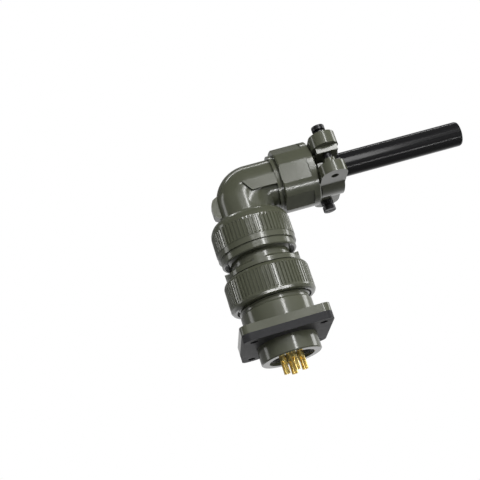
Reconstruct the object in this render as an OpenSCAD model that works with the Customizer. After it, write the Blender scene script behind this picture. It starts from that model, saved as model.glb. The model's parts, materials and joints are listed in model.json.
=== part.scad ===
// Right-angle circular power connector: a fluted-nut plug with a 90 degree backshell and a saddle clamp,
// mated to its square-flange panel receptacle. Millimetres.
// The plug axis is Z and the cable arm runs along X. The panel face, where the gasket rests, is z = 0.

/* [Receptacle] */
// Side of the square flange
flange_w = 34.9; // [33:0.1:38]
// Thickness of the flange
flange_t = 3.2; // [2:0.1:4]
// Corner radius of the flange and gasket
flange_corner_r = 3; // [1.5:0.1:3.6]
// Distance between neighbouring mounting holes
hole_spacing = 27; // [26.6:0.1:27.6]
// Radius of the mounting holes
hole_r = 1.55; // [1.2:0.05:1.7]
// Thickness of the gasket
gasket_t = 3; // [1:0.1:4]
// Radius of the barrel behind the panel
rear_barrel_r = 12; // [11.2:0.1:12.6]
// Length of the barrel behind the panel face
rear_barrel_l = 6.7; // [6.2:0.1:10]
// Radius of the insert bore
insert_bore_r = 9; // [8.4:0.1:9.4]
// Crest radius of the coupling thread
thread_r = 14.29; // [13.9:0.01:14.5]
// Root radius of the coupling thread
thread_root_r = 13.6; // [13.4:0.01:13.8]
// Length of the front barrel, from the flange
front_barrel_l = 15.5; // [13:0.1:18]
// Length of its smooth neck
neck_l = 6.8; // [5:0.1:7.5]
// Radius of the socket that the plug nose enters
front_bore_r = 12.6; // [12.4:0.05:12.8]
// Width of the polarising key
key_w = 2.6; // [2:0.1:4]
// Height of the polarising key
key_h = 1; // [0.8:0.05:1.1]

/* [Contacts] */
// Number of contacts
contact_n = 4; // [3:1:4]
// Radius of the circle that the contacts stand on
contact_circle_r = 3.6; // [3.4:0.1:4.6]
// Angle of the first contact
contact_phase = 4; // [0:1:89]
// Radius of the solder cups
cup_r = 1.25; // [1.1:0.05:1.4]
// Radius of the hole in a solder cup
cup_bore_r = 0.85; // [0.6:0.05:0.95]
// Length of a solder cup outside its insert
cup_l = 7.7; // [5.5:0.1:9]
// Direction that the cup scoops face
cup_angle = 235; // [0:1:359]
// Radius of the mating pins
pin_r = 0.794; // [0.7:0.002:0.85]
// Length of pin that stands out of its insert
pin_l = 9.4; // [8:0.1:10.5]
// Radius of the contact collars
collar_r = 1.9; // [1.6:0.05:2.1]
// Thickness of the contact collars
collar_t = 1.6; // [1:0.1:2.4]

/* [Plug] */
// Wall of the coupling nut outside its thread
nut_wall = 2.75; // [2.3:0.05:3.6]
// Length of the coupling nut
nut_l = 12.7; // [11.5:0.1:13.5]
// Flutes round the coupling nut
nut_flute_n = 72; // [40:1:90]
// Depth of the flutes
flute_depth = 0.45; // [0.2:0.05:0.7]
// Radius of the notched shoulder ring
shoulder_r = 15.2; // [14.8:0.1:16]
// Number of raised tabs round the shoulder ring
tab_n = 4; // [3:1:6]
// Width of the tabs
tab_w = 3.8; // [3:0.1:5]
// Height of the tabs above the ring
tab_h = 1; // [0.6:0.1:1.4]
// Angle of the first tab
tab_angle = 261; // [200:1:300]
// Outer radius of the plug barrel under the nuts
plug_r = 13.2; // [13.1:0.05:13.3]
// Inner radius of the plug barrel
plug_bore_r = 11.2; // [10.8:0.05:11.4]
// Length of barrel between the shoulder ring and its rear end
plug_tail_l = 11.2; // [10.5:0.1:12.5]
// Outer radius of the barrel's rear thread
tail_r = 12.9; // [12.6:0.05:13]
// Radius of the relief groove in front of the rear thread
relief_r = 11.9; // [11.8:0.05:12.4]
// Length of the relief groove
relief_l = 3.6; // [2.5:0.1:4.2]

/* [Elbow] */
// Wall of the elbow nut outside its thread
elbow_nut_wall = 3.15; // [2.7:0.05:4]
// Length of the elbow nut
elbow_nut_l = 16.9; // [16:0.1:17.2]
// Flutes round the elbow nut
elbow_flute_n = 64; // [40:1:80]
// Radius of the elbow's two tubes
elbow_r = 10; // [9.4:0.1:10.4]
// Radius of the wireway inside the elbow
elbow_bore_r = 8; // [7:0.1:8.5]
// Radius of the base that turns in the elbow nut
elbow_base_r = 11; // [10.9:0.05:11.2]
// Height of the arm above the elbow's lower end
elbow_h = 21.6; // [20.5:0.1:24]
// Radius of the bend at the middle of the tube
bend_r = 4.7; // [4:0.1:5.5]
// Distance from the plug axis to the end of the arm
arm_l = 24; // [22:0.1:26]
// Radius of the arm's threaded end
arm_thread_r = 10.9; // [10.6:0.05:11.2]

/* [Clamp] */
// Radius of the clamp body
clamp_r = 13.2; // [12.9:0.1:14]
// Thickness of the clamp body's end wall, behind the sleeve's flange
clamp_end_t = 3.7; // [2.9:0.1:5]
// Length of the round collar at the end of the flats
collar_w = 2.8; // [2:0.1:3.4]
// Number of flats on the clamp body
flat_n = 6; // [4:1:8]
// Depth of the flats
flat_depth = 0.6; // [0.3:0.05:1]
// Angle of the first flat, from the top towards the near side
flat_angle = 40; // [0:1:59]
// Outer radius of the saddles
saddle_r = 11.2; // [10.6:0.1:11.6]
// Length of the saddles along the arm
saddle_l = 9.6; // [8.5:0.1:10.5]
// Half of the gap between the two saddles
saddle_half_gap = 1.3; // [1:0.1:2]
// Distance of the clamp screws from the arm's axis
screw_y = 13.8; // [13.4:0.1:14.4]
// Radius of the saddles' ears
ear_r = 5.4; // [4.8:0.1:5.7]
// Distance from the arm's axis to the outer faces of the ears under the screw heads
head_ear_top = 8.5; // [8:0.1:9.2]
// Thickness of the ears under the screw heads
head_ear_t = 5.3; // [4.5:0.1:5.8]
// Distance from the arm's axis to the outer faces of the tapped ears
tapped_ear_top = 9.2; // [8.6:0.1:9.8]
// Thickness of the tapped ears
tapped_ear_t = 4.6; // [4.2:0.1:5.6]
// Radius of the clamp screws
screw_r = 1.5; // [1.3:0.05:1.6]
// Radius of the screw heads
screw_head_r = 2.65; // [2.4:0.05:3]
// Height of the screw heads
screw_head_h = 1.8; // [1.6:0.1:2.6]
// Radius of the washers
washer_r = 2.6; // [2.4:0.05:2.9]
// Thickness of the plain washers
washer_t = 0.7; // [0.5:0.05:0.9]
// Thickness of the lock washers
lock_t = 1; // [0.7:0.05:1.2]
// Gap between the heads and the lock washers
head_gap = 0.8; // [0:0.1:1.2]

/* [Sleeve] */
// Outer radius of the rubber sleeve
sleeve_r = 5.12; // [4.8:0.01:5.2]
// Bore radius of the rubber sleeve
sleeve_bore_r = 3.4; // [2.5:0.1:3.9]
// Length of the sleeve from its flange to its open end
sleeve_l = 70.4; // [50:0.1:90]
// Radius of the sleeve's flange inside the clamp
sleeve_flange_r = 9.6; // [8:0.1:10.2]
// Thickness of the sleeve's flange
sleeve_flange_t = 2; // [1.5:0.1:2.5]

/* [Fits] */
// Radial clearance of a turning or sliding fit
fit = 0.06; // [0.04:0.01:0.09]
// Gap between flat faces that nearly touch
face_gap = 0.1; // [0.05:0.01:0.2]
// Thickness of the snap rings
ring_t = 1.2; // [0.9:0.05:1.3]
// Clearance of a screw in a plain hole
hole_gap = 0.2; // [0.1:0.05:0.3]

/* [Hidden] */
$fn = 96;
eps = 0.01;
olive = "#5f6357";
rubber_black = "#26262a";
insert_black = "#2b2d2c";
gold = "#d8a848";
screw_black = "#2f302f";
steel = "#8b8d8c";

// Receptacle heights
flange_z = gasket_t;
flange_top_z = flange_z + flange_t;
floor_step = 0.8;
floor_z = flange_top_z + floor_step;
barrel_end_z = flange_top_z + front_barrel_l;
edge_r = 0.4;
gasket_relief = 0.25;

// Pin insert: two discs that trap the contact collars between them
insert_flange_t = 1.6;
insert_flange_gap = 0.5;
insert_split_z = 1.2;
insert_recess = 2.3;
pin_insert_rear_z = -rear_barrel_l + insert_recess;
pin_face_z = floor_z + insert_flange_t;
insert_ring_w = 1;
ring_bite = 0.5;

// Plug heights
mate_gap = 0.4;
plug_face_z = pin_face_z + mate_gap;
end_gap = 0.5;
plug_step_z = barrel_end_z + end_gap;
groove_wall = 0.4;
nut_ring_z = plug_step_z + groove_wall;
nut_lip_z = nut_ring_z + ring_t + face_gap;
nut_lip_t = 4.2;
nut_rear_z = nut_lip_z + nut_lip_t;
nut_front_z = nut_rear_z - nut_l;
nut_thread_r = thread_r + fit;
nut_r = nut_thread_r + nut_wall;
shoulder_z = nut_rear_z + 2 * face_gap;
shoulder_t = 2.8;
slot_w = 0.8;
slot_h = 1.2;
tail_z = shoulder_z + shoulder_t;
plug_rear_z = tail_z + plug_tail_l;
nose_r = front_bore_r - fit;
flute_ramp = 0.9;
nut_groove_r = plug_r - 0.5;
nut_ring_r = nut_thread_r - 0.3;

// Socket insert
socket_front_t = 7.4;
socket_rear_t = 7.2;
socket_split_z = plug_face_z + socket_front_t;
socket_rear_z = socket_split_z + face_gap + socket_rear_t;
socket_ring_z = socket_rear_z + face_gap;
socket_r = cup_r + 0.1;
socket_recess = 0.5;

// Elbow heights
elbow_z = plug_rear_z + face_gap;
elbow_ring_gap = 2.6;
elbow_ring_z = elbow_z + elbow_ring_gap;
elbow_lip_z = elbow_ring_z + ring_t + face_gap;
elbow_lip_t = 5.2;
elbow_nut_top_z = elbow_lip_z + elbow_lip_t;
elbow_nut_z = elbow_nut_top_z - elbow_nut_l;
base_proud = 1;
arm_z = elbow_z + elbow_h;
bend_z = arm_z - bend_r;
elbow_groove_r = elbow_base_r - 0.75;
elbow_nut_bore_r = tail_r + fit;
elbow_nut_r = elbow_nut_bore_r + elbow_nut_wall;
inner_bend_r = 3;
inner_tube_r = elbow_r - 0.15;

// Arm and clamp stations along X
ridge_x = 14.5;
ridge_w = 1.1;
ridge_proud = 1.3;
clamp_x = ridge_x + ridge_w + 0.8;
gland_t = 1;
gland_x = arm_l + face_gap;
sleeve_x = gland_x + gland_t + face_gap;
sleeve_end_x = sleeve_x + sleeve_l;
clamp_shoulder_x = sleeve_x + sleeve_flange_t + face_gap;
clamp_end_x = clamp_shoulder_x + clamp_end_t;
clamp_l = clamp_end_x - clamp_x;
clamp_bore_r = arm_thread_r + fit;
saddle_gap = 1;
saddle_end_x = clamp_end_x + saddle_gap + saddle_l;
screw_x = clamp_end_x + saddle_gap + saddle_l / 2 - 0.3;
trough_r = sleeve_r + fit;
block_w = 8.7;
block_y = screw_y + 2.5;
block_low_z = 0.6;
boss_r = 2.3;
boss_low_z = 1.9;
screw_tail = tapped_ear_top - 1;
lock_z = head_ear_top + washer_t;
head_z = lock_z + lock_t + head_gap;

module ring(r_out, r_in, z, h) {
    translate([0, 0, z])
        difference() {
            cylinder(r = r_out, h = h);
            translate([0, 0, -1]) cylinder(r = r_in, h = h + 2);
        }
}

// A ring cut through on one side, as a snap ring is
module snap_ring(r_out, r_in, z, h, gap_w, angle) {
    difference() {
        ring(r_out, r_in, z, h);
        rotate([0, 0, angle])
            translate([0, -gap_w / 2, z - 1])
                cube([r_out + 1, gap_w, h + 2]);
    }
}

module turned(points) {
    rotate_extrude() polygon(points);
}

module rounded_square(w, r) {
    union() {
        square([w, w - 2 * r], center = true);
        square([w - 2 * r, w], center = true);
        for (x = [-1, 1])
            for (y = [-1, 1])
                translate([x * (w / 2 - r), y * (w / 2 - r)]) circle(r = r);
    }
}

module hole_pattern() {
    for (x = [-1, 1])
        for (y = [-1, 1])
            translate([x * hole_spacing / 2, y * hole_spacing / 2]) children();
}

module on_contacts() {
    for (i = [0:contact_n - 1])
        on_contact(i) children();
}

module on_contact(i) {
    rotate([0, 0, contact_phase + 360 / contact_n * i])
        translate([contact_circle_r, 0, 0]) children();
}

module receptacle_shell() {
    color(olive)
        difference() {
            union() {
                translate([0, 0, flange_z])
                    linear_extrude(height = flange_t) rounded_square(flange_w, flange_corner_r);
                turned([
                    [0, -rear_barrel_l],
                    [rear_barrel_r - edge_r, -rear_barrel_l],
                    [rear_barrel_r, -rear_barrel_l + edge_r],
                    [rear_barrel_r, 0],
                    [rear_barrel_r - gasket_relief, 0],
                    [rear_barrel_r - gasket_relief, flange_z + eps],
                    [thread_r, flange_z + eps],
                    [thread_r, flange_top_z + neck_l],
                    [thread_root_r, flange_top_z + neck_l + thread_r - thread_root_r],
                    [thread_root_r, barrel_end_z - edge_r],
                    [thread_root_r - edge_r, barrel_end_z],
                    [0, barrel_end_z],
                ]);
            }
            translate([0, 0, -rear_barrel_l - 1])
                cylinder(r = insert_bore_r, h = rear_barrel_l + floor_z + 2);
            translate([0, 0, floor_z])
                difference() {
                    cylinder(r = front_bore_r, h = barrel_end_z);
                    translate([front_bore_r - key_h, -key_w / 2, -1])
                        cube([key_h + 1, key_w, front_barrel_l + 1 - floor_step - 1.5]);
                }
            pin_ring_groove();
            translate([0, 0, flange_z - 1])
                hole_pattern() cylinder(r = hole_r, h = flange_t + 2);
        }
}

module pin_ring_groove() {
    translate([0, 0, pin_insert_rear_z - insert_ring_w - 2 * face_gap])
        cylinder(r = insert_bore_r + ring_bite + fit, h = insert_ring_w + face_gap * 3 / 2);
}

module flange_gasket() {
    color(rubber_black)
        difference() {
            linear_extrude(height = gasket_t) rounded_square(flange_w, flange_corner_r);
            translate([0, 0, -1]) cylinder(r = rear_barrel_r + fit, h = gasket_t + 2);
            translate([0, 0, -1]) hole_pattern() cylinder(r = hole_r, h = gasket_t + 2);
        }
}

module pin_insert_front() {
    split_z = insert_split_z;
    color(insert_black)
        difference() {
            union() {
                translate([0, 0, split_z])
                    cylinder(r = insert_bore_r - fit, h = pin_face_z - split_z);
                difference() {
                    translate([0, 0, floor_z])
                        cylinder(r = front_bore_r - insert_flange_gap, h = insert_flange_t);
                    translate([front_bore_r - key_h - insert_flange_gap, -key_w, floor_z - 1])
                        cube([key_h * 3, key_w * 2, insert_flange_t + 2]);
                }
            }
            on_contacts() {
                cylinder(r = pin_r + fit, h = pin_face_z + 1);
                translate([0, 0, split_z - 1]) cylinder(r = collar_r + fit, h = collar_t + face_gap + 1);
            }
        }
}

module pin_insert_rear() {
    color(insert_black)
        translate([0, 0, pin_insert_rear_z])
            difference() {
                cylinder(r = insert_bore_r - fit, h = insert_split_z - face_gap - pin_insert_rear_z);
                on_contacts() translate([0, 0, -1]) cylinder(r = cup_r + fit, h = rear_barrel_l + 3);
            }
}

module pin_insert_ring() {
    color(steel)
        snap_ring(insert_bore_r + ring_bite, insert_bore_r - 1.2,
            pin_insert_rear_z - insert_ring_w - face_gap, insert_ring_w, 4, 200);
}

// A solder cup along +Z from z = 0: a blind hole from the end, with one side cut open as a scoop
module solder_cup(length) {
    bore_l = 5;
    scoop_l = 3.8;
    difference() {
        cylinder(r = cup_r, h = length);
        translate([0, 0, length - bore_l]) cylinder(r = cup_bore_r, h = bore_l + 1);
        translate([cup_bore_r * 0.35, -cup_r * 2, length - scoop_l]) cube([cup_r * 2, cup_r * 4, scoop_l + 1]);
        translate([cup_bore_r * 0.35 + 1.1, -cup_r * 2, length - scoop_l])
            rotate([-90, 0, 0]) cylinder(r = 1.1, h = cup_r * 4);
    }
}

module pin_contact(i) {
    color(gold)
        on_contact(i) {
            translate([0, 0, insert_split_z + face_gap / 2]) cylinder(r = collar_r, h = collar_t);
            translate([0, 0, insert_split_z])
                cylinder(r = pin_r, h = pin_face_z + pin_l - insert_split_z - pin_r);
            translate([0, 0, pin_face_z + pin_l - pin_r]) sphere(r = pin_r);
            rotate([0, 0, cup_angle - contact_phase - 360 / contact_n * i])
                translate([0, 0, insert_split_z + face_gap])
                    mirror([0, 0, 1])
                        solder_cup(insert_split_z + face_gap - pin_insert_rear_z + cup_l);
        }
}

module coupling_nut() {
    mouth_r = nut_thread_r + 0.65;
    mouth_t = 2;
    rear_r = plug_r + 1.7;
    band_z = nut_front_z + 1.7;
    rear_band_z = nut_rear_z - 1.4;
    color(olive)
        difference() {
            intersection() {
                turned([
                    [0, nut_front_z],
                    [nut_r - 1.2, nut_front_z],
                    [nut_r - 0.5, nut_front_z + 0.35],
                    [nut_r, nut_front_z + 1.2],
                    [nut_r, nut_rear_z - 2],
                    [nut_r - 0.3, nut_rear_z - 1.2],
                    [nut_r - 0.9, nut_rear_z - 0.5],
                    [rear_r, nut_rear_z],
                    [0, nut_rear_z],
                ]);
                flute_cut(nut_r, nut_flute_n, nut_front_z, band_z, rear_band_z, nut_rear_z);
            }
            translate([0, 0, nut_front_z - 1]) cylinder(r = nut_thread_r, h = nut_lip_z - nut_front_z + 1);
            translate([0, 0, nut_front_z - 1]) cylinder(r = plug_r + fit, h = nut_l + 2);
            translate([0, 0, nut_front_z - 1]) cylinder(r = mouth_r, h = mouth_t + 1);
        }
}

// A disc with shallow flutes. Its teeth stand past the radius r, so that the crests are cut by the nut's own
// outer surface: each has a crest, a slope, a root and a slope.
module fluted_disc(r, depth, n) {
    proud = 0.2;
    polygon([
        for (i = [0:n - 1])
            for (k = [[0, proud], [0.3, proud], [0.52, -depth], [0.78, -depth]])
                (r + k[1]) * [cos((i + k[0]) * 360 / n), sin((i + k[0]) * 360 / n)]
    ]);
}

// What the flutes leave of a nut: plain bands below band_z and above top_z, a ramp where the flutes run out at
// either end, and the fluted length between
module flute_cut(r, n, low_z, band_z, top_z, high_z) {
    crest = r + 0.1;
    root = r - flute_depth - 0.1;
    translate([0, 0, low_z - 1]) cylinder(r = r + 1, h = band_z - low_z + 1);
    translate([0, 0, band_z - eps]) cylinder(r1 = crest, r2 = root, h = flute_ramp);
    translate([0, 0, band_z - 2 * eps])
        linear_extrude(height = top_z - band_z + 4 * eps) fluted_disc(r, flute_depth, n);
    translate([0, 0, top_z - flute_ramp + eps]) cylinder(r1 = root, r2 = crest, h = flute_ramp);
    translate([0, 0, top_z]) cylinder(r = r + 1, h = high_z - top_z + 1);
}

module coupling_nut_ring() {
    color(steel) snap_ring(nut_ring_r, nut_groove_r + fit, nut_ring_z, ring_t, 3, 60);
}

module plug_barrel() {
    rim = 1;
    bevel_w = 1.4;
    bevel_h = 1.1;
    color(olive)
        difference() {
            turned([
                [plug_bore_r, plug_face_z],
                [nose_r - edge_r, plug_face_z],
                [nose_r, plug_face_z + edge_r],
                [nose_r, plug_step_z],
                [plug_r, plug_step_z],
                [plug_r, nut_ring_z - face_gap / 2],
                [nut_groove_r, nut_ring_z - face_gap / 2],
                [nut_groove_r, nut_ring_z + ring_t + face_gap / 2],
                [plug_r, nut_ring_z + ring_t + face_gap / 2],
                [plug_r, shoulder_z],
                [shoulder_r, shoulder_z],
                [shoulder_r, tail_z + tab_h],
                [relief_r, tail_z + tab_h],
                [relief_r, tail_z + relief_l],
                [tail_r, tail_z + relief_l + tail_r - relief_r],
                [tail_r, plug_rear_z],
                [plug_bore_r, plug_rear_z],
            ]);
            translate([0, 0, socket_ring_z - face_gap / 2])
                cylinder(r = plug_bore_r + ring_bite + fit, h = insert_ring_w + face_gap);
            translate([front_bore_r - key_h - 3 * fit, -key_w / 2 - 3 * fit, plug_face_z - 1])
                cube([key_h + 3, key_w + 6 * fit, plug_step_z - plug_face_z + 1 - rim]);
            // Between the tabs the ring is lower and bevelled, with a slot on either side of each tab
            difference() {
                turned([
                    [relief_r + 0.3, tail_z],
                    [shoulder_r - bevel_w, tail_z],
                    [shoulder_r, tail_z - bevel_h],
                    [shoulder_r + 1, tail_z - bevel_h],
                    [shoulder_r + 1, tail_z + tab_h + 1],
                    [relief_r + 0.3, tail_z + tab_h + 1],
                ]);
                on_tabs() cube([5, tab_w, 2 * (tab_h + 2)], center = true);
            }
            on_tabs()
                for (side = [-1, 1])
                    translate([0, side * (tab_w + slot_w) / 2, 0])
                        cube([5, slot_w + eps, 2 * slot_h], center = true);
        }
}

module on_tabs() {
    for (i = [0:tab_n - 1])
        rotate([0, 0, tab_angle + 360 / tab_n * i])
            translate([shoulder_r, 0, tail_z]) children();
}

module socket_insert_front() {
    color(insert_black)
        translate([0, 0, plug_face_z])
            difference() {
                cylinder(r = plug_bore_r - fit, h = socket_front_t);
                on_contacts() {
                    translate([0, 0, -1]) cylinder(r = pin_r + 2 * fit, h = socket_front_t);
                    translate([0, 0, socket_recess]) cylinder(r = socket_r + fit, h = socket_front_t);
                    translate([0, 0, socket_front_t - collar_t - face_gap])
                        cylinder(r = collar_r + fit, h = collar_t + 1);
                }
            }
}

module socket_insert_rear() {
    color(insert_black)
        translate([0, 0, socket_split_z + face_gap])
            difference() {
                cylinder(r = plug_bore_r - fit, h = socket_rear_t);
                on_contacts() translate([0, 0, -1]) cylinder(r = cup_r + fit, h = socket_rear_t + 2);
            }
}

module socket_insert_ring() {
    color(steel)
        snap_ring(plug_bore_r + ring_bite, plug_bore_r - 1.2, socket_ring_z, insert_ring_w, 4, 200);
}

module socket_contact(i) {
    start_z = plug_face_z + socket_recess + face_gap;
    color(gold)
        on_contact(i)
            difference() {
                union() {
                    translate([0, 0, start_z]) cylinder(r = socket_r, h = socket_split_z - start_z);
                    translate([0, 0, socket_split_z - collar_t]) cylinder(r = collar_r, h = collar_t);
                    rotate([0, 0, cup_angle - contact_phase - 360 / contact_n * i])
                        translate([0, 0, socket_split_z - eps]) solder_cup(socket_rear_z + cup_l - socket_split_z);
                }
                translate([0, 0, start_z - 1])
                    cylinder(r = pin_r + fit, h = pin_face_z + pin_l + 1 - start_z + 1);
                translate([0, 0, start_z + 1.5]) cube([0.3, 6, 5], center = true);
            }
}

module elbow_nut() {
    step_z = elbow_nut_z + 3;
    band_z = step_z + 2.3;
    flute_top_z = band_z + 7.8;
    mouth_r = elbow_nut_bore_r + 1.3;
    mouth_t = 1.5;
    color(olive)
        difference() {
            intersection() {
                turned([
                    [0, elbow_nut_z],
                    [elbow_nut_r - 1.3, elbow_nut_z],
                    [elbow_nut_r - 0.9, elbow_nut_z + 0.4],
                    [elbow_nut_r - 0.9, step_z],
                    [elbow_nut_r - 0.2, step_z],
                    [elbow_nut_r - 0.2, band_z],
                    [elbow_nut_r, band_z],
                    [elbow_nut_r, elbow_nut_top_z - 4],
                    [elbow_nut_r - 0.25, elbow_nut_top_z - 2.8],
                    [elbow_nut_r - 0.9, elbow_nut_top_z - 1.5],
                    [elbow_nut_r - 1.6, elbow_nut_top_z - 0.6],
                    [elbow_nut_r - 2.6, elbow_nut_top_z],
                    [0, elbow_nut_top_z],
                ]);
                flute_cut(elbow_nut_r, elbow_flute_n, elbow_nut_z, band_z, flute_top_z, elbow_nut_top_z);
            }
            translate([0, 0, elbow_nut_z - 1]) cylinder(r = elbow_nut_bore_r, h = elbow_lip_z - elbow_nut_z + 1);
            translate([0, 0, elbow_nut_z - 1]) cylinder(r = elbow_base_r + fit, h = elbow_nut_l + 2);
            translate([0, 0, elbow_nut_z - 1]) cylinder(r = mouth_r, h = mouth_t + 1);
        }
}

module elbow_nut_ring() {
    color(steel) snap_ring(elbow_nut_bore_r - 0.3, elbow_groove_r + fit, elbow_ring_z, ring_t, 3, 60);
}

// The bent tube: a straight leg up, a quarter turn, and a straight arm out along X
module bent_tube(r, arm_end, low_z) {
    translate([0, 0, low_z]) cylinder(r = r, h = bend_z - low_z);
    translate([bend_r, 0, bend_z])
        rotate([-90, 0, 0])
            rotate([0, 0, 180])
                rotate_extrude(angle = 90)
                    intersection() {
                        translate([bend_r, 0]) circle(r = r);
                        translate([0, -r - 1]) square([r + bend_r + 1, 2 * r + 2]);
                    }
    translate([bend_r, 0, arm_z])
        rotate([0, 90, 0]) cylinder(r = r, h = arm_end - bend_r);
    // The inside of the bend, where the leg and the arm meet
    intersection() {
        translate([0, 0, low_z]) cylinder(r = r, h = arm_z - low_z);
        translate([0, 0, arm_z]) rotate([0, 90, 0]) cylinder(r = r, h = r + 1);
    }
    intersection() {
        translate([0, 0, bend_z - r]) cylinder(r = r, h = 2 * r);
        translate([0, -r, bend_z - eps]) cube([r, 2 * r, bend_r]);
        translate([0, 0, arm_z]) rotate([0, 90, 0]) cylinder(r = r, h = r + 1);
    }
}

// A fuller inside of the bend: a quarter turn of a slightly thinner tube on a wider bend
module inner_bend() {
    wide_r = elbow_r + inner_bend_r;
    translate([wide_r, 0, arm_z - wide_r])
        rotate([-90, 0, 0])
            rotate([0, 0, 180])
                rotate_extrude(angle = 90)
                    translate([wide_r, 0]) circle(r = inner_tube_r);
}

module elbow_body() {
    lug_w = 5;
    lug_x = -elbow_r - 2.4;
    lug_low_z = elbow_nut_top_z + 2.9;
    lug_top_z = lug_low_z + 9.6;
    lug_round = 1.2;
    pad_proud = 0.9;
    pad_x = 1.2;
    pad_h = 4.5;
    pad_slope = 3;
    color(olive)
        difference() {
            union() {
                translate([0, 0, elbow_z]) cylinder(r = elbow_base_r, h = elbow_nut_top_z + base_proud - elbow_z);
                bent_tube(elbow_r, ridge_x + eps, elbow_nut_top_z);
                inner_bend();
                translate([ridge_x, 0, arm_z]) rotate([0, 90, 0]) cylinder(r = elbow_r + ridge_proud, h = ridge_w);
                translate([ridge_x, 0, arm_z]) rotate([0, 90, 0]) cylinder(r = arm_thread_r, h = arm_l - ridge_x);
                // Heel lug
                translate([0, lug_w / 2, 0])
                    rotate([90, 0, 0])
                        linear_extrude(height = lug_w)
                            polygon([
                                [-elbow_r + 1, lug_low_z],
                                [-elbow_r - 0.4, lug_low_z],
                                [lug_x + 0.3, lug_low_z + lug_round],
                                [lug_x, lug_low_z + 2 * lug_round],
                                [lug_x, lug_top_z - 3 * lug_round],
                                [lug_x + 0.5, lug_top_z - 2 * lug_round],
                                [lug_x + lug_round, lug_top_z - lug_round],
                                [-elbow_r + 1, lug_top_z],
                                [-elbow_r + 2, lug_top_z],
                            ]);
                // Raised side pads
                for (side = [0, 1])
                    mirror([0, side, 0])
                        translate([0, -elbow_r + 2, 0])
                            rotate([90, 0, 0])
                                linear_extrude(height = pad_proud + 2)
                                    polygon([
                                        [pad_x, arm_z],
                                        [ridge_x + eps, arm_z],
                                        [ridge_x + eps, arm_z - pad_h],
                                        [pad_x + pad_slope, arm_z - pad_h],
                                    ]);
            }
            bent_tube(elbow_bore_r, arm_l + 1, elbow_z - 1);
            ring(elbow_base_r + 1, elbow_groove_r, elbow_ring_z - face_gap / 2, ring_t + face_gap);
        }
}

// Everything on the arm is drawn about the X axis and then lifted to the arm
module on_arm() {
    translate([0, 0, arm_z]) children();
}

module along_x(x) {
    translate([x, 0, 0]) rotate([0, 90, 0]) children();
}

// An ear: a round end about the screw, and a straight part to near_y
module ear(near_y, low_z, high_z) {
    cylinder_y = screw_y * sign(near_y);
    translate([screw_x, cylinder_y, low_z]) cylinder(r = ear_r, h = high_z - low_z);
    translate([screw_x - ear_r, min(near_y, cylinder_y), low_z])
        cube([2 * ear_r, abs(cylinder_y - near_y), high_z - low_z]);
}

// One saddle above its parting plane: tapped ear at +Y, and at -Y the ear under the screw head, on a block
module saddle(x0) {
    inner_y = 4;
    difference() {
        union() {
            intersection() {
                along_x(x0) cylinder(r = saddle_r, h = saddle_end_x - x0);
                translate([x0 - 1, -saddle_r - 1, saddle_half_gap])
                    cube([saddle_end_x - x0 + 2, 2 * saddle_r + 2, saddle_r + 1]);
            }
            ear(inner_y, tapped_ear_top - tapped_ear_t, tapped_ear_top);
            ear(-inner_y, head_ear_top - head_ear_t, head_ear_top);
            translate([screw_x, screw_y, boss_low_z]) cylinder(r = boss_r, h = tapped_ear_top - 1 - boss_low_z);
            translate([screw_x - block_w / 2, -block_y, block_low_z])
                cube([block_w, block_y - inner_y, head_ear_top - 1 - block_low_z]);
        }
        along_x(x0 - 1) cylinder(r = trough_r, h = saddle_end_x - x0 + 2);
        translate([screw_x, screw_y, 0]) cylinder(r = screw_r + fit, h = tapped_ear_top + 5);
        translate([screw_x, -screw_y, block_low_z - 1]) cylinder(r = screw_r + hole_gap, h = head_ear_top + 5);
    }
}

module clamp_body() {
    flats_l = clamp_l - collar_w;
    front_r = 0.5;
    color(olive)
        on_arm() {
            difference() {
                along_x(clamp_x)
                    turned([
                        [clamp_bore_r, 0],
                        [clamp_r - front_r, 0],
                        [clamp_r, front_r],
                        [clamp_r, clamp_l - edge_r],
                        [clamp_r - edge_r, clamp_l],
                        [sleeve_r + 5 * fit, clamp_l],
                        [sleeve_r + 5 * fit, clamp_shoulder_x - clamp_x],
                        [clamp_bore_r, clamp_shoulder_x - clamp_x],
                    ]);
                for (i = [0:flat_n - 1])
                    rotate([flat_angle + 360 / flat_n * i, 0, 0])
                        translate([clamp_x - 1, -clamp_r, clamp_r - flat_depth])
                            cube([flats_l + 1, 2 * clamp_r, 3]);
            }
            saddle(clamp_end_x - eps);
        }
}

module clamp_saddle() {
    color(olive) on_arm() rotate([180, 0, 0]) saddle(clamp_end_x + saddle_gap);
}

// A clamp screw along +Z through the ears, with a slotted head
module clamp_screw() {
    drive_w = 0.7;
    drive_h = 0.8;
    color(screw_black)
        difference() {
            union() {
                translate([0, 0, -screw_tail]) cylinder(r = screw_r, h = head_z + screw_tail + eps);
                translate([0, 0, head_z]) cylinder(r = screw_head_r, h = screw_head_h);
            }
            translate([-screw_head_r - 1, -drive_w / 2, head_z + screw_head_h - drive_h])
                cube([2 * screw_head_r + 2, drive_w, drive_h + 1]);
        }
}

module plain_washer() {
    color(screw_black) ring(washer_r, screw_r + hole_gap, head_ear_top, washer_t);
}

// A split washer
module lock_washer() {
    color(screw_black)
        difference() {
            ring(washer_r - 0.1, screw_r + hole_gap, lock_z, lock_t);
            rotate([0, 0, 35]) translate([0, -0.3, lock_z - 1]) cube([washer_r + 1, 0.6, lock_t + 2]);
        }
}

// Screw 1 enters from above on the -Y side, screw 2 from below on the +Y side
module at_screw(i) {
    on_arm()
        rotate([i == 1 ? 0 : 180, 0, 0])
            translate([screw_x, -screw_y, 0]) children();
}

module gland_washer() {
    color(steel) on_arm() along_x(gland_x) ring(clamp_bore_r - 0.3, sleeve_bore_r + 1.2, 0, gland_t);
}

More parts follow.
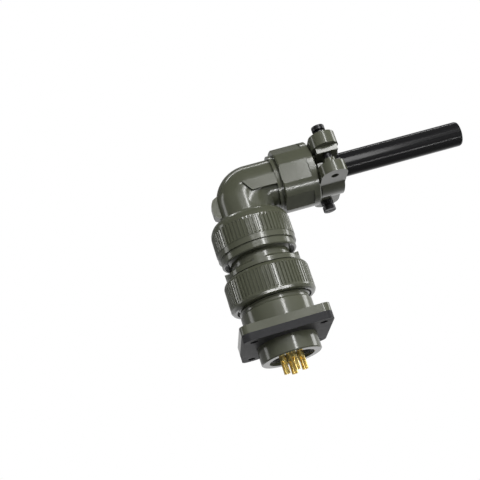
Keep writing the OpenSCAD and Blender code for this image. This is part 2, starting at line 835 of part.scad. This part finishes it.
module cable_sleeve() {
    round_r = 0.9;
    color(rubber_black)
        on_arm()
            along_x(sleeve_x)
                turned([
                    [sleeve_bore_r, 0],
                    [sleeve_flange_r, 0],
                    [sleeve_flange_r, sleeve_flange_t],
                    [sleeve_r, sleeve_flange_t],
                    [sleeve_r, sleeve_l - round_r],
                    [sleeve_r - round_r * 0.3, sleeve_l - round_r * 0.3],
                    [sleeve_r - round_r, sleeve_l],
                    [sleeve_bore_r, sleeve_l],
                ]);
}

receptacle_shell();
flange_gasket();
pin_insert_front();
pin_insert_rear();
pin_insert_ring();
for (i = [1:contact_n]) {
    pin_contact(i - 1);
    socket_contact(i - 1);
}
coupling_nut();
coupling_nut_ring();
plug_barrel();
socket_insert_front();
socket_insert_rear();
socket_insert_ring();
elbow_nut();
elbow_nut_ring();
elbow_body();
clamp_body();
clamp_saddle();
for (i = [1, 2]) {
    at_screw(i) clamp_screw();
    at_screw(i) plain_washer();
    at_screw(i) lock_washer();
}
gland_washer();
cable_sleeve();
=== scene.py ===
"""Looks of a right-angle circular power connector mated to its panel receptacle.

Everything is in metres, in the frame of the CAD model: the plug's axis is Z, the cable arm lies along X,
and the gasket's rear face is z = 0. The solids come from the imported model. This script gives them their
finish, rounds their edges and adds the coupling threads, which the solids leave out.
"""
import json
import math
import bmesh
import bpy
from mathutils import Matrix, Vector


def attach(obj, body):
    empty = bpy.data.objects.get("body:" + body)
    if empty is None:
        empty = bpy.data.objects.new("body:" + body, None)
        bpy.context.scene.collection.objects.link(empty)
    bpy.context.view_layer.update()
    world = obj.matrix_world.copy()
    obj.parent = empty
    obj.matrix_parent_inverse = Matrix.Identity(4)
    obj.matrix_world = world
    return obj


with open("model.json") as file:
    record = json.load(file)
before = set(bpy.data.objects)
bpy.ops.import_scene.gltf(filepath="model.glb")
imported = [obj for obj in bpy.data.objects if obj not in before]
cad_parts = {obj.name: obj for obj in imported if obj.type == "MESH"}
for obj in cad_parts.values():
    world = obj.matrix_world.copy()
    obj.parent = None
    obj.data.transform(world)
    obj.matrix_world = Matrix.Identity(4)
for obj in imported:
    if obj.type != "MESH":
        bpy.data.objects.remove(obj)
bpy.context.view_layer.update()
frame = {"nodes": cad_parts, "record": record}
NODES = frame["nodes"]
SLOT = {part["node"]: part["material_slot"] for part in frame["record"]["subparts"]}
MM = 0.001


class Nodes:
    """Short calls to build a node tree."""

    def __init__(self, tree):
        self.tree = tree

    def add(self, kind, **inputs):
        node = self.tree.nodes.new(kind)
        for name, value in inputs.items():
            self.put(node, name.replace("_", " "), value)
        return node

    def put(self, node, socket, value):
        target = node.inputs[socket]
        if isinstance(value, bpy.types.NodeSocket):
            self.tree.links.new(value, target)
        else:
            target.default_value = value

    def math(self, operation, a, b=0.0, c=0.0):
        node = self.tree.nodes.new("ShaderNodeMath")
        node.operation = operation
        for index, value in enumerate((a, b, c)):
            self.put(node, index, value)
        return node.outputs[0]

    def ramp(self, value, stops):
        """Look a value up between stops, each a place and a grey level or a colour."""
        node = self.tree.nodes.new("ShaderNodeValToRGB")
        self.put(node, "Fac", value)
        band = node.color_ramp
        while len(band.elements) < len(stops):
            band.elements.new(0.5)
        for element, (place, shade) in zip(band.elements, stops):
            element.position = place
            element.color = (shade, shade, shade, 1) if isinstance(shade, (int, float)) else (*shade, 1)
        return node.outputs["Color"]

    def mix(self, factor, a, b):
        node = self.tree.nodes.new("ShaderNodeMix")
        node.data_type = "RGBA"
        self.put(node, "Factor", factor)
        for index, value in ((6, a), (7, b)):  # the mix node's two colour inputs
            self.put(node, index, value if isinstance(value, bpy.types.NodeSocket) else (*value, 1))
        return node.outputs[2]


def link(name, data):
    """A new object of the scene."""
    obj = bpy.data.objects.new(name, data)
    bpy.context.scene.collection.objects.link(obj)
    return obj


# ---------------------------------------------------------------- camera
# The photograph's view: from in front and below, looking up, with the camera rolled.
CAMERA_PLACE = (-0.0478, -0.3385, -0.0748)
CAMERA_AZIMUTH, CAMERA_ELEVATION, CAMERA_ROLL = (math.radians(a) for a in (-7.17, 19.26, 17.84))
CAMERA_LENS_MM, CAMERA_SENSOR_MM = 68.4, 36


def add_camera():
    data = bpy.data.cameras.new("camera")
    data.sensor_width = CAMERA_SENSOR_MM
    data.lens = CAMERA_LENS_MM
    data.clip_start = 0.01
    level = math.cos(CAMERA_ELEVATION)
    ahead = Vector((-math.sin(CAMERA_AZIMUTH) * level, math.cos(CAMERA_AZIMUTH) * level,
                    math.sin(CAMERA_ELEVATION)))
    right = ahead.cross(Vector((0, 0, 1))).normalized()
    up = right.cross(ahead)
    camera_right = math.cos(CAMERA_ROLL) * right - math.sin(CAMERA_ROLL) * up
    camera_up = camera_right.cross(ahead)
    camera = link("camera", data)
    turn = Matrix((camera_right, camera_up, -ahead)).transposed().to_4x4()
    camera.matrix_world = Matrix.Translation(CAMERA_PLACE) @ turn
    bpy.context.scene.camera = camera


# ---------------------------------------------------------------- light and floor
# Each lamp is a soft box that faces LIT_POINT: its name, azimuth from -Y towards +X and elevation in degrees,
# distance, width and height in metres, radiance, and the surfaces it lights. The fills light matt surfaces
# only, so they draw no highlight, and the low one shows in glossy surfaces only.
LIT_POINT = Vector((0.02, 0, 0.04))
MATT, GLOSS, BOTH = (True, False), (False, True), (True, True)
LAMPS = [
    ("fill", 8, 24, 0.9, 0.7, 0.7, 3.4, MATT),
    ("rear_fill", 190, 28, 0.9, 0.7, 0.7, 2.6, MATT),
    ("right_fill", 84, -12, 0.6, 0.4, 0.3, 4.0, MATT),
    ("front", 8, 20, 0.9, 0.7, 0.02, 7.0, BOTH),
    ("strip", 17, 12, 0.8, 0.08, 0.6, 11.5, BOTH),
    ("left", -98, 12, 0.9, 0.2, 0.9, 2.0, BOTH),
    ("right", 102, 8, 0.9, 0.3, 0.9, 3.6, BOTH),
    ("low", 7, -48, 0.2, 0.3, 0.008, 24.0, GLOSS),
    ("line", 180, 76, 0.9, 0.9, 0.05, 9.0, BOTH),
]
# The studio's brightness by direction. Along each axis, 0 is the negative end and 1 the positive end.
STUDIO = {
    "Y": [(0.0, 1.0), (0.2, 0.8), (0.4, 0.4), (0.55, 0.6), (0.75, 1.0)],
    "Z": [(0.0, 0.1), (0.35, 0.3), (0.47, 1.0), (0.62, 0.7), (0.8, 0.2)],
    "X": [(0.0, 0.35), (0.35, 0.6), (0.5, 1.0)],
}
STUDIO_MATT = 0.2        # share of the studio's light that matt surfaces get
FLOOR_Z, FLOOR_HALF = -0.16, 4.0
FLOOR_LIT, FLOOR_GLOW = 0.4, 0.6    # to the camera: the colour, which takes the shadow, and the glow
FLOOR_BOUNCE = 0.2       # the floor's colour to every other ray
FLOOR_MIRRORED = [(0.1, 0.0), (0.5, 0.9)]    # the glow that glossy surfaces mirror, by Y in metres


def add_lamp(name, azimuth, elevation, distance, width, height, radiance, light):
    a, e = math.radians(azimuth), math.radians(elevation)
    towards = Vector((math.sin(a) * math.cos(e), -math.cos(a) * math.cos(e), math.sin(e)))
    data = bpy.data.lights.new(name, "AREA")
    data.shape = "RECTANGLE"
    data.size, data.size_y = width, height
    data.energy = radiance * math.pi * width * height
    lamp = link(name, data)
    lamp.visible_camera = False
    lamp.visible_diffuse, lamp.visible_glossy = light
    turn = (towards * distance).to_track_quat("Z", "Y").to_matrix().to_4x4()
    lamp.matrix_world = Matrix.Translation(LIT_POINT + towards * distance) @ turn


def add_world():
    """White to the camera. To other rays a studio, bright in front and behind and dimmer everywhere else."""
    world = bpy.data.worlds.new("studio")
    bpy.context.scene.world = world
    world.use_nodes = True
    world.node_tree.nodes.clear()
    n = Nodes(world.node_tree)
    path = n.add("ShaderNodeLightPath")
    way = n.add("ShaderNodeSeparateXYZ", Vector=n.add("ShaderNodeTexCoord").outputs["Generated"])
    studio = 1.0
    for axis, stops in STUDIO.items():
        along = n.math("MULTIPLY_ADD", way.outputs[axis], 0.5, 0.5)
        studio = n.math("MULTIPLY", n.ramp(along, stops), studio)
    share = n.ramp(path.outputs["Is Diffuse Ray"], [(0.0, 1.0), (1.0, STUDIO_MATT)])
    shown = n.mix(path.outputs["Is Camera Ray"], n.math("MULTIPLY", studio, share), (1, 1, 1))
    light = n.add("ShaderNodeBackground", Color=shown, Strength=1.0)
    n.add("ShaderNodeOutputWorld", Surface=light.outputs[0])


def add_floor():
    """A plain pale floor, below the camera. Glossy surfaces mirror its far side as bright."""
    mesh = bpy.data.meshes.new("floor")
    corners = [(-1, -1), (1, -1), (1, 1), (-1, 1)]
    places = [(x * FLOOR_HALF, y * FLOOR_HALF, FLOOR_Z) for x, y in corners]
    mesh.from_pydata(places, [], [(0, 1, 2, 3)])
    floor = link("floor", mesh)
    material = bpy.data.materials.new("floor_paint")
    material.use_nodes = True
    n = Nodes(material.node_tree)
    shader = material.node_tree.nodes["Principled BSDF"]
    path = n.add("ShaderNodeLightPath")
    n.put(shader, "Base Color", n.mix(path.outputs["Is Camera Ray"], (FLOOR_BOUNCE,) * 3, (FLOOR_LIT,) * 3))
    n.put(shader, "Roughness", 0.9)
    place = n.add("ShaderNodeSeparateXYZ", Vector=n.add("ShaderNodeTexCoord").outputs["Object"])
    mirrored = n.math("MULTIPLY", n.ramp(place.outputs["Y"], FLOOR_MIRRORED), path.outputs["Is Glossy Ray"])
    shown = n.math("MULTIPLY", path.outputs["Is Camera Ray"], FLOOR_GLOW)
    n.put(shader, "Emission Color", (1, 1, 1, 1))
    n.put(shader, "Emission Strength", n.math("ADD", mirrored, shown))
    mesh.materials.append(material)


add_camera()
add_world()
add_floor()
for settings in LAMPS:
    add_lamp(*settings)
bpy.context.scene.view_settings.view_transform = "Standard"


# ---------------------------------------------------------------- materials
OLIVE = (0.091, 0.096, 0.065)
RING_HEIGHT = 40         # a thread ring's height, in the bump's depths


def thread_rings(n, place, pitch, low, high):
    """Height of thread rings along Z between two stations, in the bump's depths."""
    along = n.add("ShaderNodeSeparateXYZ", Vector=place).outputs["Z"]
    wave = n.math("PINGPONG", along, pitch / 2)
    within = n.math("MULTIPLY", n.math("GREATER_THAN", along, low), n.math("LESS_THAN", along, high))
    return n.math("MULTIPLY", n.math("MULTIPLY", wave, 2 / pitch * RING_HEIGHT), within)


def surface(name, color, roughness, patch, grain, depth, spread, rough_spread,
            metallic=0.0, specular=0.5, stretch=None, rings=None):
    """Colour and roughness that drift over patches, with a fine bump.

    patch and grain are the sizes of the drifting patches and of the bump, and depth is its height, all in
    millimetres. spread is the colour's share, and rough_spread the roughness, that the drift adds or takes.
    stretch scales the pattern along each axis. rings are a thread's pitch and its two ends in millimetres.
    """
    material = bpy.data.materials.new(name)
    material.use_nodes = True
    shader = material.node_tree.nodes["Principled BSDF"]
    n = Nodes(material.node_tree)
    n.put(shader, "Metallic", metallic)
    n.put(shader, "Specular IOR Level", specular)
    place = n.add("ShaderNodeTexCoord").outputs["Object"]
    if stretch:
        place = n.add("ShaderNodeMapping", Vector=place, Scale=stretch).outputs["Vector"]
    drift = n.add("ShaderNodeTexNoise", Vector=place, Scale=1 / (patch * MM), Detail=5.0, Roughness=0.6)
    low, high = (tuple(c * share for c in color) for share in (1 - spread, 1 + spread))
    n.put(shader, "Base Color", n.ramp(drift.outputs["Fac"], [(0.3, low), (0.7, high)]))
    smooth, rough = roughness - rough_spread, roughness + rough_spread
    n.put(shader, "Roughness", n.ramp(drift.outputs["Fac"], [(0.25, smooth), (0.75, rough)]))
    fine = n.add("ShaderNodeTexNoise", Vector=place, Scale=1 / (grain * MM), Detail=3.0, Roughness=0.55)
    relief = fine.outputs["Fac"]
    if rings:
        relief = n.math("ADD", relief, thread_rings(n, place, *(size * MM for size in rings)))
    bump = n.add("ShaderNodeBump", Strength=1.0, Distance=depth * MM, Height=relief)
    n.put(shader, "Normal", bump.outputs["Normal"])
    return material


def enamel(name, roughness=0.16, grain=0.5, depth=0.003, rings=None):
    """Glossy olive enamel."""
    return surface(name, OLIVE, roughness, patch=9, grain=grain, depth=depth, spread=0.05, rough_spread=0.04,
                   specular=0.8, rings=rings)


def dark_metal(name, grey, roughness):
    return surface(name, grey, roughness, patch=2, grain=0.15, depth=0.004, spread=0.12, rough_spread=0.06,
                   metallic=1.0)


MATERIALS = {
    "olive_paint": enamel("olive_paint"),
    "gasket_rubber": surface("gasket_rubber", (0.034, 0.034, 0.036), 0.48, patch=4, grain=0.25, depth=0.01,
                             spread=0.15, rough_spread=0.06, specular=0.15),
    "insert_plastic": surface("insert_plastic", (0.02, 0.021, 0.019), 0.45, patch=3, grain=0.3, depth=0.006,
                              spread=0.12, rough_spread=0.05),
    "contact_gold": surface("contact_gold", (1.0, 0.80, 0.33), 0.36, patch=2, grain=0.3, depth=0.0006,
                            spread=0.05, rough_spread=0.04, metallic=1.0),
    # Extruded rubber: its marks run along the sleeve.
    "sleeve_rubber": surface("sleeve_rubber", (0.014, 0.014, 0.0148), 0.15, patch=1.5, grain=0.5, depth=0.004,
                             spread=0.12, rough_spread=0.03, specular=0.18, stretch=(0.04, 1, 1)),
    "screw_black": dark_metal("screw_black", (0.075, 0.075, 0.077), 0.36),
    "ring_steel": dark_metal("ring_steel", (0.5, 0.5, 0.5), 0.3),
}
CAST = enamel("olive_cast", roughness=0.18, grain=1.2, depth=0.008)
OWN = {
    "elbow_body": CAST,
    "clamp_body": CAST,
    "clamp_saddle": CAST,
    "plug_barrel": enamel("olive_barrel", depth=0.006, rings=(1.27, 35.6, 42.2)),
}
# Width of the rounding of each piece's edges, in millimetres.
EDGE_OF_OTHERS = 0.08
EDGE = {"flange_gasket": 0.3, "receptacle_shell": 0.25, "elbow_body": 0.6, "clamp_body": 0.4,
        "clamp_saddle": 0.35, "coupling_nut": 0.12, "elbow_nut": 0.12, "plug_barrel": 0.15, "cable_sleeve": 0.2}
SHARP_ANGLE = math.radians(35)


def clothe(obj, material):
    obj.data.materials.clear()
    obj.data.materials.append(material)


def round_edges(obj, width):
    bevel = obj.modifiers.new("rounded_edges", "BEVEL")
    bevel.width = width
    bevel.segments = 2
    bevel.limit_method = "ANGLE"
    bevel.angle_limit = SHARP_ANGLE
    bevel.use_clamp_overlap = True
    bevel.harden_normals = True


for name, obj in NODES.items():
    clothe(obj, OWN.get(name, MATERIALS[SLOT[name]]))
    round_edges(obj, EDGE.get(name, EDGE_OF_OTHERS) * MM)


# ---------------------------------------------------------------- coupling threads
COUPLING_PITCH = 25.4 / 18 * MM
MALE_ROOT, MALE_CREST, MALE_START, MALE_END = 13.57 * MM, 14.25 * MM, 14.1 * MM, 21.2 * MM
FEMALE_ROOT, FEMALE_CREST, FEMALE_START, FEMALE_END = 14.38 * MM, 13.7 * MM, 18.1 * MM, 23.2 * MM
THREAD_STEPS = 72        # per turn
FADE_STEPS = 24          # over which a thread rises to its full height
FOOT, TOP = 0.40, 0.07   # half the ridge's width at its root and at its crest, in pitches


def helix(name, root, crest, start, end, pitch, phase):
    """A thread's ridge as a closed body, from the root radius to the crest. It fades out at both ends."""
    count = int((end - start) / pitch * THREAD_STEPS)
    mesh = bmesh.new()
    rows = []
    for i in range(count + 1):
        turn = 2 * math.pi * i / THREAD_STEPS + phase
        z = start + pitch * i / THREAD_STEPS
        height = root + (crest - root) * min(1.0, i / FADE_STEPS, (count - i) / FADE_STEPS)
        outline = ((root, -FOOT), (height, -TOP), (height, TOP), (root, FOOT))
        rows.append([mesh.verts.new((radius * math.cos(turn), radius * math.sin(turn), z + shift * pitch))
                     for radius, shift in outline])
    for a, b in zip(rows, rows[1:]):
        for k in range(4):
            mesh.faces.new((a[k], a[(k + 1) % 4], b[(k + 1) % 4], b[k]))
    mesh.faces.new(rows[0])
    mesh.faces.new(reversed(rows[-1]))
    bmesh.ops.recalc_face_normals(mesh, faces=mesh.faces)
    data = bpy.data.meshes.new(name)
    mesh.to_mesh(data)
    mesh.free()
    obj = link(name, data)
    clothe(obj, MATERIALS["olive_paint"])
    return obj


barrel_thread = helix("coupling_thread_male", MALE_ROOT, MALE_CREST, MALE_START, MALE_END, COUPLING_PITCH, 0.0)
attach(barrel_thread, "receptacle")
# The nut's ridge runs in the groove, half a pitch away from the receptacle's.
nut_phase = 2 * math.pi * ((FEMALE_START - MALE_START) / COUPLING_PITCH - 0.5)
nut_thread = helix("coupling_thread_female", FEMALE_ROOT, FEMALE_CREST, FEMALE_START, FEMALE_END,
                   COUPLING_PITCH, nut_phase)
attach(nut_thread, "coupling_nut")
